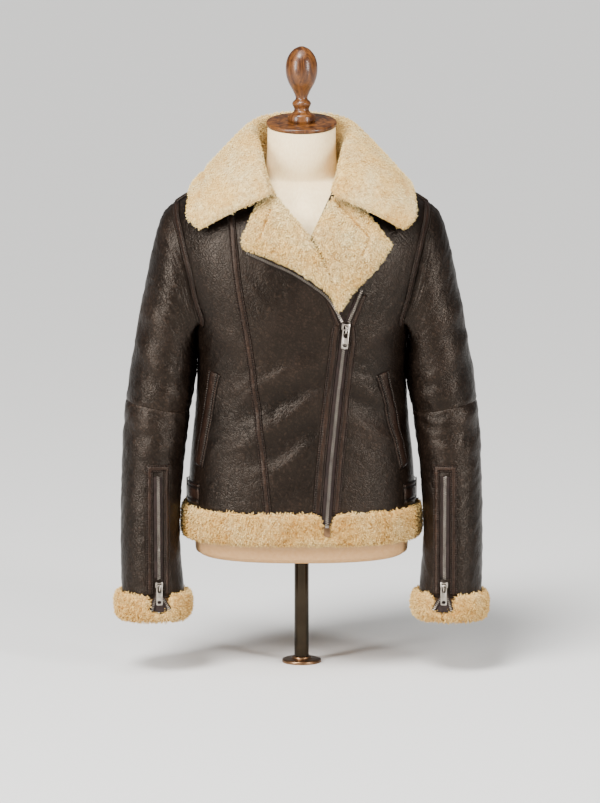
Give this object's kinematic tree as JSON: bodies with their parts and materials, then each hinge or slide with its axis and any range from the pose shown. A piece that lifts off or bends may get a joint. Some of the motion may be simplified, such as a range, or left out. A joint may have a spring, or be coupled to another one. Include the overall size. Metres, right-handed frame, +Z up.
{
  "type": "shearling bomber jacket on a dress form",
  "caption": "Leather bomber jacket with wool collar, lapels, hem and cuffs and an off-centre zip, worn on a limbless dress form with turned finial and short pole.",
  "frame": {"origin": "centre of the foot flange's flat underside", "axes": "+Z up along the form's pole, -Y out of the jacket's front, +X towards the wearer's left"},
  "size_m": [0.5648, 0.2689, 0.9283],
  "materials": {
    "leather": "dark brown grained hide, worn lighter at edges",
    "leather_trim": "smooth reddish brown strips",
    "wool": "cream curly wool",
    "zip_tape": "dark woven tape",
    "nickel": "pale nickel",
    "linen": "ivory linen cover",
    "turned_wood": "gloss mid brown",
    "dark_steel": "dark polished tube",
    "bronze": "bronze brown flange"
  },
  "bodies": {
    "jacket_on_form": {"front_right_centre": "leather", "front_right_side": "leather", "front_left": "leather", "back": "leather", "sleeve_right_upper": "leather", "sleeve_right_lower": "leather", "sleeve_left_upper": "leather", "sleeve_left_lower": "leather", "armhole_strip_front_right": "leather_trim", "armhole_strip_back_right": "leather_trim", "armhole_strip_front_left": "leather_trim", "armhole_strip_back_left": "leather_trim", "princess_strip": "leather_trim", "zip_facing_left": "leather_trim", "zip_facing_right": "leather_trim", "zip_facing_left_upper": "leather_trim", "pocket_welt_right": "leather_trim", "pocket_welt_left": "leather_trim", "waist_tab_front_right": "leather_trim", "waist_tab_back_right": "leather_trim", "waist_tab_front_left": "leather_trim", "waist_tab_back_left": "leather_trim", "cuff_frame_right": "leather_trim", "cuff_frame_left": "leather_trim", "collar": "wool", "lapel_right": "wool", "lapel_left": "wool", "hem_band": "wool", "cuff_right": "wool", "cuff_left": "wool", "main_zip_closed": "zip_tape", "main_zip_branch_right": "zip_tape", "main_zip_branch_left": "zip_tape", "cuff_zip_right": "zip_tape", "cuff_zip_left": "zip_tape", "cuff_tape_inner_right": "zip_tape", "cuff_tape_outer_right": "zip_tape", "cuff_tape_inner_left": "zip_tape", "cuff_tape_outer_left": "zip_tape", "main_slider": "nickel", "main_zip_box": "nickel", "cuff_right_slider": "nickel", "cuff_left_slider": "nickel", "side_ring_right": "nickel", "side_ring_left": "nickel", "form_torso": "linen", "neck_cap": "turned_wood", "finial": "turned_wood", "pole": "dark_steel", "foot_flange": "bronze"},
    "main_pull": {"main_pull": "nickel"},
    "cuff_pull_right": {"cuff_right_pull": "nickel"},
    "cuff_pull_left": {"cuff_left_pull": "nickel"}
  },
  "joints": [
    {"name": "main_pull_hinge", "type": "hinge", "parent": "jacket_on_form", "child": "main_pull", "pos_m": [0.06478, -0.12782, 0.52], "axis": [-0.9771, -0.1935, 0.088], "range_deg": [0, 130]},
    {"name": "cuff_pull_right_hinge", "type": "hinge", "parent": "jacket_on_form", "child": "cuff_pull_right", "pos_m": [-0.21084, -0.10657, 0.136], "axis": [-0.9772, -0.2123, 0], "range_deg": [0, 150]},
    {"name": "cuff_pull_left_hinge", "type": "hinge", "parent": "jacket_on_form", "child": "cuff_pull_left", "pos_m": [0.21084, -0.10657, 0.136], "axis": [-0.9772, 0.2123, 0], "range_deg": [0, 150]}
  ]
}
